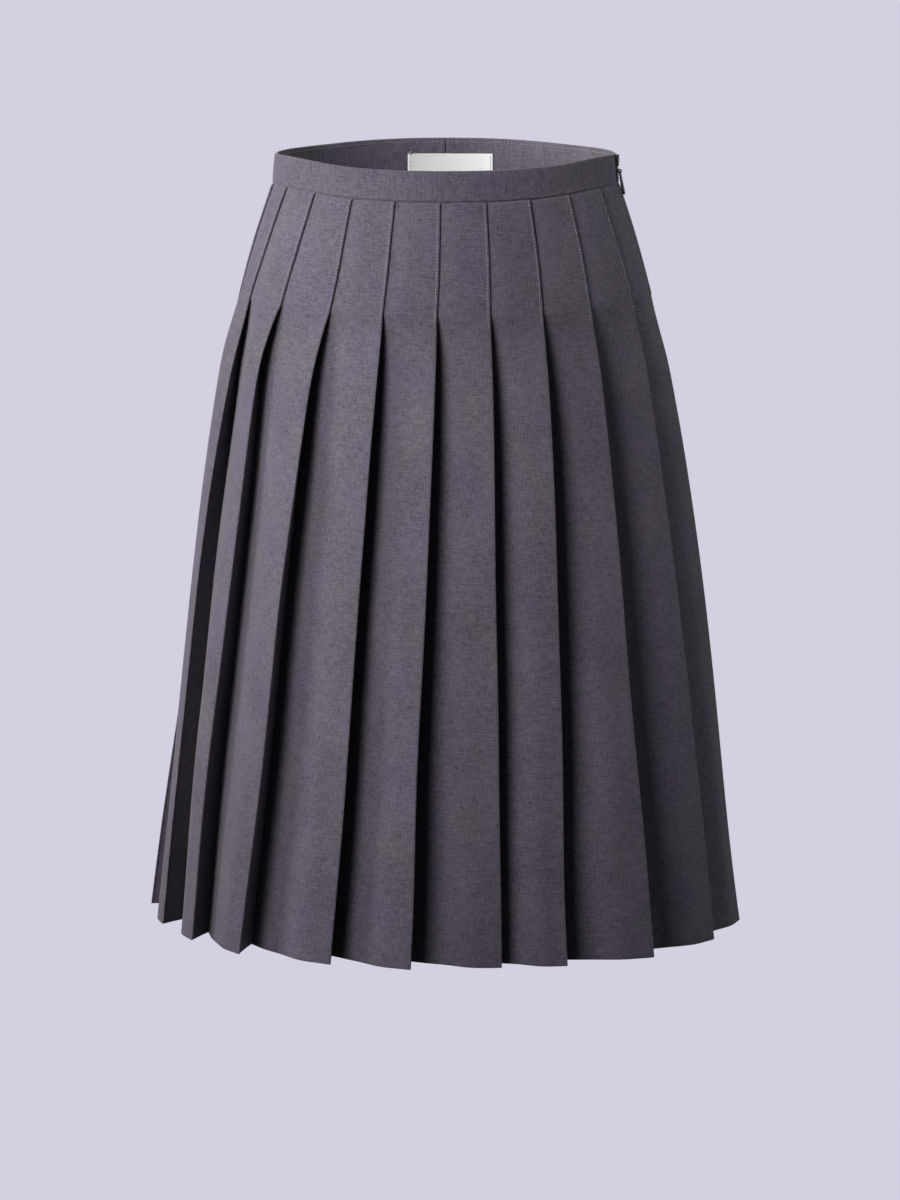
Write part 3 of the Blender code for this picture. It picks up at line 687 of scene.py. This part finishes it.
def build_skirt(wool):
    """Front and back from the one grid all round, parted at the side seams. The inside
    has the hem allowance as a second layer, left out where a fold is too tight for it.
    """
    x, y, drop, squeeze = skirt_grid()
    normal_x, normal_y = plan_normals(x, y)
    role = np.tile(role_of_columns(), PLEATS)
    from_nose = abs(role - NOSE_ROLE)
    free = 1 - bell(np.minimum(from_nose, ROLES - from_nose), 1.0, 0.0, 0.8)
    in_hem = np.clip((drop - (HEM_DROP - HEM_ALLOWANCE)) / 1.0 + 0.5, 0, 1)
    half = np.full(drop.shape, CLOTH / 2) * squeeze
    extra = (HEM_LAYER * in_hem * squeeze)[:, None] * free
    at_hem = len(drop) - 5
    step = np.hypot(np.diff(x[at_hem]), np.diff(y[at_hem]))
    lengths = np.concatenate(([0.0], np.cumsum(step)))
    whole = lengths[-1] + np.hypot(x[at_hem, 0] - x[at_hem, -1], y[at_hem, 0] - y[at_hem, -1])
    grids = []
    for side in (half[:, None] + 0 * extra, -(half[:, None] + extra)):
        px, py = x + normal_x * side, y + normal_y * side
        grids.append(np.stack((px, py, height_at(drop[:, None], px, py)), axis=-1))
    seam = STEPS_AFTER[0] + STEPS_AFTER[1] + STEPS_AFTER[2] // 2
    first, second = seam, FIRST_BACK_FOLD * COLUMNS + seam
    pieces = []
    for name, start, end in (("skirt_front_cloth", first, second),
                             ("skirt_back_cloth", second, PLEATS * COLUMNS + first)):
        columns = np.arange(start, end + 1) % (PLEATS * COLUMNS)
        outer, inner = (grid[:, columns].copy() for grid in grids)
        for grid in (outer, inner):
            for at, step_in in ((0, 1), (-1, -1)):
                run = grid[:, at + step_in] - grid[:, at]
                grid[:, at] += unit(run) * SEAM_PARTING
        laid = lengths[columns] + whole * (np.arange(start, end + 1) >= PLEATS * COLUMNS)
        pieces.append(shell(name, outer, inner, laid, drop, wool))
    return pieces, grids, (normal_x, normal_y), drop


def stitches(name, centres, directions, normals, length, radius, material):
    """Many stitches as one mesh. Each is a thread of five rings of five points, bowed
    out of the cloth by a cosine and thin at its ends, where it dives in.
    """
    along = np.linspace(-1, 1, THREAD_RINGS)
    turn = np.arange(THREAD_SIDES) / THREAD_SIDES * math.tau
    directions = unit(directions)
    sides = unit(np.cross(directions, normals))
    normals = np.cross(sides, directions)
    thick = radius * np.sqrt(1 - 0.85 * along ** 2)
    rise = radius * (1.5 * np.cos(along * math.pi / 2) - 0.8)
    spine = (centres[:, None] + directions[:, None] * (along * length / 2)[None, :, None]
             + normals[:, None] * rise[None, :, None])
    ring = (sides[:, None, None] * np.cos(turn)[None, None, :, None]
            + normals[:, None, None] * np.sin(turn)[None, None, :, None])
    points = spine[:, :, None] + ring * thick[None, :, None, None]
    index = np.arange(THREAD_RINGS * THREAD_SIDES).reshape(THREAD_RINGS, THREAD_SIDES)
    around = np.roll(index, -1, 1)
    walls = np.stack((index[:-1], index[1:], around[1:], around[:-1]), axis=-1).reshape(-1, 4)
    start = (np.arange(len(centres)) * index.size)[:, None, None]
    faces = (walls[None] + start).reshape(-1, 4).tolist()
    faces += (index[0][None] + start[:, 0]).tolist() + (index[-1][::-1][None] + start[:, 0]).tolist()
    mesh = bpy.data.meshes.new(name)
    mesh.from_pydata((points.reshape(-1, 3) * MM).tolist(), [], faces)
    return finish_piece(name, mesh, material, sharp=80.0)


def along_line(points, normals, pitch, start=0.0, end=0.0):
    """Places every pitch along a line of points: centre, direction and normal there."""
    lengths = np.concatenate(([0.0], np.cumsum(np.linalg.norm(np.diff(points, axis=0), axis=1))))
    at = np.arange(start, lengths[-1] - end, pitch)

    def read(values, where):
        return np.stack([np.interp(where, lengths, values[:, k]) for k in range(3)], axis=1)

    return read(points, at), read(points, at + 0.3) - read(points, at - 0.3), read(normals, at)


def gather(runs):
    return [np.concatenate(parts) for parts in zip(*runs)]


def build_pleat_stitching(grids, normals, drop, thread):
    """Edge stitching down each pleat, 2 mm from its fold, from the band to the opening."""
    rows = (drop > 12) & (drop < STITCH_DROP + 12)
    runs = []
    for at in STITCH_COLUMN + COLUMNS * np.arange(PLEATS):
        out = np.stack((normals[0][rows, at], normals[1][rows, at], np.zeros(rows.sum())), axis=1)
        runs.append(along_line(grids[0][rows, at], out, 2.5, 1.0, 1.0))
    centres, directions, outwards = gather(runs)
    return stitches("pleat_edge_stitching", centres, directions, outwards, 1.9, THREAD_RADIUS, thread)


def band_ring(inset, drop):
    grow = BAND_FLARE * drop - inset
    return Ring(BAND_HALF_WIDTH + grow, BAND_HALF_DEPTH + grow, BAND_HALF_DEPTH + grow)


def band_profile():
    """The band's section as insets from its outer face and heights: up the outside, over
    a round top, and down the inside, which laps over the seam and is rolled under.
    """
    half, radius, roll = BAND_HEIGHT / 2, BAND_THICK / 2, 0.45
    up = np.linspace(-half + roll, half - radius, 13)
    swell = 0.22 * np.sin((up + half) / BAND_HEIGHT * math.pi) + 0.35 * np.exp(-(up + half) / 2.5)
    top = np.linspace(0, math.pi, 9)[1:-1]
    low = np.radians((67.5, 45.0, 22.5))
    lapped = up - INSIDE_LAP * (half - radius - up) / (BAND_HEIGHT - radius - roll)
    inset = np.concatenate((roll * (1 - np.sin(low)), -swell,
                            radius * (1 - np.cos(top)), BAND_THICK + 0.3 * swell[::-1],
                            BAND_THICK - roll * (1 - np.cos(low[::-1]))))
    rise = np.concatenate((-half + roll * (1 - np.cos(math.pi / 2 - low)), up,
                           half - radius + radius * np.sin(top), lapped[::-1],
                           -half - INSIDE_LAP + roll * (1 - np.sin(low[::-1]))))
    return inset, rise


def build_band(name, start, end, start_gap, end_gap, seed, wool):
    """One stretch of the band: its profile carried along its ring, with faint puckers
    beside the seams and its ends rolled in.
    """
    inset, rise = band_profile()
    middle = band_ring(BAND_THICK / 2, 0.0)
    first, last = middle.length_at(start) + start_gap, middle.length_at(end) - end_gap
    columns = max(int((last - first) / 1.8), 12)
    share = np.concatenate(([0.0, 0.0008, 0.003], np.linspace(0.01, 0.99, columns),
                            [0.997, 0.9992, 1.0]))
    roll = np.zeros(len(share))
    roll[:3] = roll[-3:][::-1] = (0.6, 0.25, 0.05)
    place = first + (last - first) * share
    thick = BAND_THICK / 2
    grid = []
    for move, z in zip(inset, rise):
        ring = band_ring(0.0, -z)
        scale = ring.total / middle.total
        near_seam = np.exp(-abs(z + BAND_HEIGHT / 2) / 4) + 0.5 * np.exp(-abs(z - BAND_HEIGHT / 2) / 3)
        pucker = PUCKER * near_seam * np.sin(place / 2.9 + seed) * np.sin(place / 17 + 2 * seed)
        swell = BAND_SWELL * np.sin(place / 31 + seed) * np.sin((z / BAND_HEIGHT + 0.5) * math.pi)
        side = np.sign(thick - move)
        squeezed = move + (thick - move) * roll / thick * (abs(thick - move) > 0.01)
        x, y = ring.point(place * scale, -squeezed + pucker * side + swell)
        grid.append(np.stack((x, y, z - np.sign(z) * roll * 0.4 + waist_rise(x, y)), axis=-1))
    grid = np.array(grid)
    count = len(inset)
    half = count // 2
    outer, inner = grid[:half][::-1], grid[half:2 * half]
    girth = np.concatenate(([0.0], np.cumsum(np.hypot(np.diff(inset), np.diff(rise)))))
    piece = shell(name, outer, inner, place, girth[:half][::-1], wool)
    return piece, grid, place


def band_line(grid, row, start, end):
    """A line along a band's grid, between two column numbers, with its normals out of
    the cloth from the profile's neighbours.
    """
    points = grid[row, start:end]
    across = grid[row + 1, start:end] - grid[row - 1, start:end]
    along = np.gradient(points, axis=0)
    return points, unit(np.cross(along, across))


def seam_angle(fold):
    """Angle round the waist of the side seam on the face of one fold."""
    table = np.array(RINGS[0])
    ring, _, _, along, _ = pleat_roles(dict(zip(RING_COLUMNS, table)))
    place = along[fold, SEAM_ROLE:SEAM_ROLE + 2].mean()
    x, y = ring.point(np.array([place]), 0.0)
    return math.atan2(x[0] / ring.half_width, -y[0] / ring.front)


def band_stitching(bands, thread):
    """Understitching inside the band 2.4 mm below its top, all round, and two upright
    rows beside the zip on both ends of the band, inside and out.
    """
    runs = []
    for grid in bands.values():
        runs.append(along_line(*band_line(grid, INSIDE_TOP_ROW, 2, -2), 2.6, 1.0, 1.0))
    for name, columns in (("waistband_front_cloth", (-6, -9)), ("waistband_left_cloth", (6, 9))):
        grid = bands[name]
        for column in columns:
            for rows in ((OUTSIDE_LOW_ROW, OUTSIDE_TOP_ROW), (INSIDE_TOP_ROW, INSIDE_LOW_ROW)):
                points = grid[rows[0]:rows[1], column]
                across = grid[rows[0]:rows[1], column + 1] - grid[rows[0]:rows[1], column - 1]
                normal = unit(np.cross(across, np.gradient(points, axis=0)))
                runs.append(along_line(points, normal, 2.4, 1.0, 1.0))
    centres, directions, outwards = gather(runs)
    return stitches("band_stitching", centres, directions, outwards, 2.0, THREAD_RADIUS, thread)


def hem_stitching(grids, normals, drop, thread):
    """Blind hem stitches inside, a small slanting one every 7 mm along the allowance."""
    row = int(np.searchsorted(drop, HEM_DROP - HEM_ALLOWANCE)) - 1
    points = grids[1][row]
    out = np.stack((-normals[0][row], -normals[1][row], np.zeros(points.shape[0])), axis=1)
    centres, directions, outwards = along_line(points, out, 7.0, 1.0, 1.0)
    slant = unit(directions) + np.array((0, 0, 0.9))
    return stitches("hem_stitching", centres, slant, outwards, 2.2, 0.16, thread)


def build_label(satin, white):
    """A satin strip on the inside of the back: its plan line is the band's inner ring,
    its middle bows off the band by a cosine, and its ends are folded under.
    """
    across = np.concatenate(([0.0, 0.004, 0.012], np.linspace(0.03, 0.97, 61), [0.988, 0.996, 1.0]))
    x_along = (across - 0.5) * LABEL_WIDTH + LABEL_CENTRE
    heights = np.linspace(LABEL_TOP, LABEL_TOP - LABEL_HEIGHT, 17)
    edge = np.clip(np.minimum(across, 1 - across) * LABEL_WIDTH / 7.0, 0, 1)
    down = (LABEL_TOP - heights) / LABEL_HEIGHT
    grids = []
    for side in (0.0, 1.0):
        rows = []
        for z, share in zip(heights, down):
            bow = LABEL_BOW * np.sin(math.pi * across) ** 0.7 * (0.6 + 0.4 * share)
            curl = 0.25 * np.sin(across * 9.0 + 1.2) * share ** 2
            thick = LABEL_THICK + 0.25 * (1 - edge ** 2)
            ring = band_ring(0.0, -z)
            inset = BAND_THICK + 0.32 + bow + curl + side * thick
            rim = np.clip(np.minimum(across, 1 - across) * 90, 0, 1)
            lift = 0.35 * (1 - rim) * (0.5 - side)
            x, y = ring.point(ring.total / 2 - x_along, -(inset + lift))
            dip = 0.35 * np.sin(math.pi * across) * (1 if share > 0.5 else -1) * abs(2 * share - 1)
            rows.append(np.stack((x, y, z + dip + waist_rise(x, y)), axis=-1))
        grids.append(np.array(rows))
    label = shell("bare_label", grids[1], grids[0], x_along, heights, satin)
    runs = []
    for column in (3, -4):
        points = grids[1][1:-1, column]
        beside = grids[1][1:-1, column + 1] - grids[1][1:-1, column - 1]
        normal = unit(np.cross(np.gradient(points, axis=0), beside))
        inward = np.sign((normal * -points).sum(1, keepdims=True))
        runs.append(along_line(points, normal * inward, 1.9, 0.6, 0.4))
    corner = grids[1][0, 2]
    turn = np.linspace(0, 1, 12)[:, None]
    tail = corner + np.concatenate((1.6 * np.sin(turn * 2.6), np.full_like(turn, -0.8),
                                    2.6 * turn - 1.5 * turn ** 3), axis=1)
    runs.append(along_line(tail, np.tile((0.0, -1.0, 0.0), (len(tail), 1)), 0.45))
    centres, directions, outwards = gather(runs)
    sewn = stitches("label_stitching", centres, directions, outwards, 1.4, 0.26, white)
    return label, sewn


def zip_line(near, far, lift, count, step=TAPE_STEP):
    """Grid behind the zip's seam: rows from the band's top down, columns between two
    distances from the seam along the ring, at a distance in from the cloth.
    """
    angle = seam_angle(FIRST_BACK_FOLD)
    offsets = np.linspace(near, far, count)
    rows = []
    for z in np.arange(END_TOP, -BAND_HEIGHT / 2, -step):
        ring = band_ring(ZIP_INSET + lift, -z)
        x, y = ring.point(ring.length_at(angle) + offsets, 0.0)
        rows.append(np.stack((x, y, z + waist_rise(x, y)), axis=-1))
    for drop in np.arange(BAND_HEIGHT / 2 + 2, ZIP_DEPTH, step):
        ring, depth, _, along, _ = pleat_roles(ring_row(drop))
        place = along[FIRST_BACK_FOLD, SEAM_ROLE:SEAM_ROLE + 2].mean()
        sunk = (ZIP_INSET - SKIRT_ZIP_INSET) * math.exp(-(drop - 13) / 8)
        inset = SKIRT_ZIP_INSET + depth / 2 + lift + sunk
        x, y = ring.point(place + offsets, -inset)
        rows.append(np.stack((x, y, height_at(drop, x, y)), axis=-1))
    return np.array(rows)


def zip_frame():
    """Frame on the band's outer face at the zip: X out of the face, Y towards the back."""
    ring = band_ring(0.0, 1.8)
    place = ring.length_at(seam_angle(FIRST_BACK_FOLD))
    (x, out_x), (y, out_y) = ring.point(np.array([place, place]), np.array([0.0, 1.0]))
    out = Vector((out_x - x, out_y - y, 0.0)).normalized()
    up = Vector((0.0, 0.0, 1.0))
    turned = np.array(Matrix((out, up.cross(out), up)).transposed())
    return turned, np.array((x, y, waist_rise(x, y)))


def build_zip(twill, coil, lacquer, black):
    """Two tapes, the closed chain of interlocked coil turns, the two open rows above the
    slider, and the slider and tab with eased edges.
    """
    made = {}
    for name, cad_node, low, high in (
            ("zip_tape_front_cloth", "zip_tape_front", -TAPE_FAR, -TAPE_NEAR),
            ("zip_tape_back_cloth", "zip_tape_back", TAPE_NEAR, TAPE_FAR)):
        outer, inner = zip_line(low, high, 0.0, 9), zip_line(low, high, 0.5, 9)
        lengths = np.linspace(low, high, 9)
        drops = np.arange(len(outer)) * TAPE_STEP
        tape = dress(shell(name, outer, inner, lengths, drops, twill), [cad_node])
        column = 7 if low < 0 else 1
        points = inner[:, column]
        normal = -np.stack((points[:, 0], points[:, 1], 0 * points[:, 0]), axis=1)
        made[name] = (tape, along_line(points, unit(normal), 2.6, 1.0, 1.0))
    sewn = stitches("zip_tape_stitching", *gather([run for _, run in made.values()]), 2.0, 0.18, black)
    dress(sewn, [])
    spine = zip_line(-1.5, 1.5, 0.1, 3, 0.8)
    low = spine[:, 1, 2] < SLIDER_FOOT
    middle, across = spine[low, 1], unit(spine[low, 2] - spine[low, 0])
    side = np.where(np.arange(len(middle)) % 2, 0.45, -0.45)[:, None]
    outward = np.cross(across, (0.0, 0.0, 1.0))
    outward *= np.sign((outward * middle).sum(1, keepdims=True))
    chain = stitches("zip_coil_closed", middle + across * side, across, outward, 2.1, 0.42, coil)
    dress(chain, ["zip_chain"])
    turned, origin = zip_frame()
    for name, cad_node, sign in (("zip_coil_front", "zip_end_front", -1),
                                 ("zip_coil_back", "zip_end_back", 1)):
        z = np.arange(2.3, END_TOP - 0.2, COIL_PITCH)
        local = np.stack((np.full(len(z), 0.1), np.full(len(z), sign * 0.75), z), axis=1)
        centres = local @ turned.T + origin
        count = len(z)
        row = stitches(name, centres, np.tile(turned[:, 0], (count, 1)),
                       np.tile(sign * turned[:, 1], (count, 1)), 4.2, 0.46, coil)
        dress(row, [cad_node])
    for cad_node, body in (("zip_slider", "garment"), ("zip_pull", "zip_pull")):
        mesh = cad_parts[cad_node].data.copy()
        mesh.materials.clear()
        piece = finish_piece(cad_node + "_cast", mesh, lacquer, sharp=35.0)
        edge = piece.modifiers.new("eased_edges", "BEVEL")
        edge.width, edge.segments, edge.limit_method = 0.12 * MM, 2, "ANGLE"
        edge.angle_limit = math.radians(35)
        dress(piece, [cad_node], body)


def main():
    wool = worsted_wool("worsted_wool_skirt")
    band_wool = worsted_wool("worsted_wool_band", turned=True)
    grey_thread = spun_thread("spun_thread_grey", "#514c58", "#8b8692")
    white_thread = spun_thread("spun_thread_white", "#88888a", "#b4b4b5")
    black_thread = spun_thread("spun_thread_black", "#141317", "#2c2a30")
    (front, back), grids, normals, drop = build_skirt(wool)
    dress(front, ["skirt_front"])
    dress(back, ["skirt_back"])
    edging = dress(build_pleat_stitching(grids, normals, drop, grey_thread), [])
    hemming = dress(hem_stitching(grids, normals, drop, grey_thread), [])
    plain, zip_side = seam_angle(0), seam_angle(FIRST_BACK_FOLD)
    bands, pieces = {}, []
    for name, cad_node, start, end, start_gap, end_gap, seed in (
            ("waistband_front_cloth", "waistband_front", plain, zip_side, 0.0, ZIP_GAP, 0.4),
            ("waistband_left_cloth", "waistband_back_left", zip_side, math.pi, ZIP_GAP, 0.0, 1.9),
            ("waistband_right_cloth", "waistband_back_right", -math.pi, plain, 0.0, 0.0, 3.1)):
        piece, grid, place = build_band(name, start, end, start_gap, end_gap, seed, band_wool)
        dress(piece, [cad_node])
        bands[name] = grid
        pieces.append((piece, (place[-1] - place[0]) * MM))
    sewn = dress(band_stitching(bands, grey_thread), [])
    label, label_thread = build_label(woven_satin("woven_satin_label"), white_thread)
    dress(label, ["label"])
    dress(label_thread, [])
    build_zip(zip_tape_twill("zip_tape_twill"), moulded_coil("moulded_coil"),
              lacquered_zinc("lacquered_zinc"), black_thread)


def build_stage():
    """A pale floor lit from above, a pale surround, a large soft key from the left front,
    and weaker lights from both sides and behind. The floor and the surround throw no
    light back on the cloth.
    """
    material, tree, shader = new_material("matt_paper_floor")
    wire(tree, shader, {"Base Color": colour("#ece8fa"), "Roughness": 0.9, "Specular IOR Level": 0.0})
    mesh = bpy.data.meshes.new("studio_floor")
    size, level = 60.0, -1.03
    corners = [(-size, -size, level), (size, -size, level), (size, size, level), (-size, size, level)]
    mesh.from_pydata(corners, [], [(0, 1, 2, 3)])
    mesh.materials.append(material)
    floor = bpy.data.objects.new("studio_floor", mesh)
    bpy.context.scene.collection.objects.link(floor)
    floor.visible_diffuse = floor.visible_glossy = False
    world = bpy.data.worlds.new("studio")
    bpy.context.scene.world = world
    world.use_nodes = True
    wire(world.node_tree, world.node_tree.nodes["Background"],
         {"Color": colour("#d4d0e0"), "Strength": 1.0})
    world.cycles_visibility.diffuse = False
    bpy.context.scene.view_settings.view_transform = "Standard"
    lights = (
        ("key", (-1.60, -1.78, 1.05), (0.0, 0.0, 0.06), 2.0, 1.0, 14.0, 48.0),
        ("left_fill", (-2.2, -0.1, 0.6), (0.0, 0.0, 0.1), 1.0, 1.2, 8.5, 70.0),
        ("right_rim", (2.15, 0.25, 0.6), (0.0, 0.0, 0.1), 0.8, 1.2, 3.6, 70.0),
        ("back_fill", (-0.1, 2.7, -0.1), (0.0, 0.0, -0.3), 1.2, 1.0, 9.0, 90.0))
    for name, place, aim, width, height, power, spread in lights:
        light = bpy.data.lights.new(name, "AREA")
        light.shape = "RECTANGLE"
        light.size, light.size_y, light.energy = width, height, power
        light.spread = math.radians(spread)
        shine_on(place_light(light, place, aim), floor, "EXCLUDE")
    overhead = bpy.data.lights.new("overhead", "SUN")
    overhead.energy, overhead.angle = 2.45, math.radians(25)
    shine_on(place_light(overhead, (0.0, 0.0, 3.0), (0.0, 0.0, 0.0)), floor, "INCLUDE")
    camera = bpy.data.cameras.new("camera")
    camera.lens = 130.4
    eye = bpy.data.objects.new("camera", camera)
    eye.location = (0.0033, -3.30, 0.22)
    eye.rotation_euler = (math.radians(90 - 9.485), 0.0, 0.0)
    bpy.context.scene.collection.objects.link(eye)
    bpy.context.scene.camera = eye


def place_light(light, place, aim):
    lamp = bpy.data.objects.new(light.name, light)
    lamp.location = place
    lamp.rotation_euler = (Vector(aim) - Vector(place)).to_track_quat("-Z", "Y").to_euler()
    bpy.context.scene.collection.objects.link(lamp)
    return lamp


def shine_on(lamp, floor, state):
    """Has a lamp light the floor alone, or everything but the floor."""
    receivers = bpy.data.collections.new(lamp.name + "_receivers")
    receivers.objects.link(floor)
    receivers.collection_objects[0].light_linking.link_state = state
    lamp.light_linking.receiver_collection = receivers


build_stage()
main()
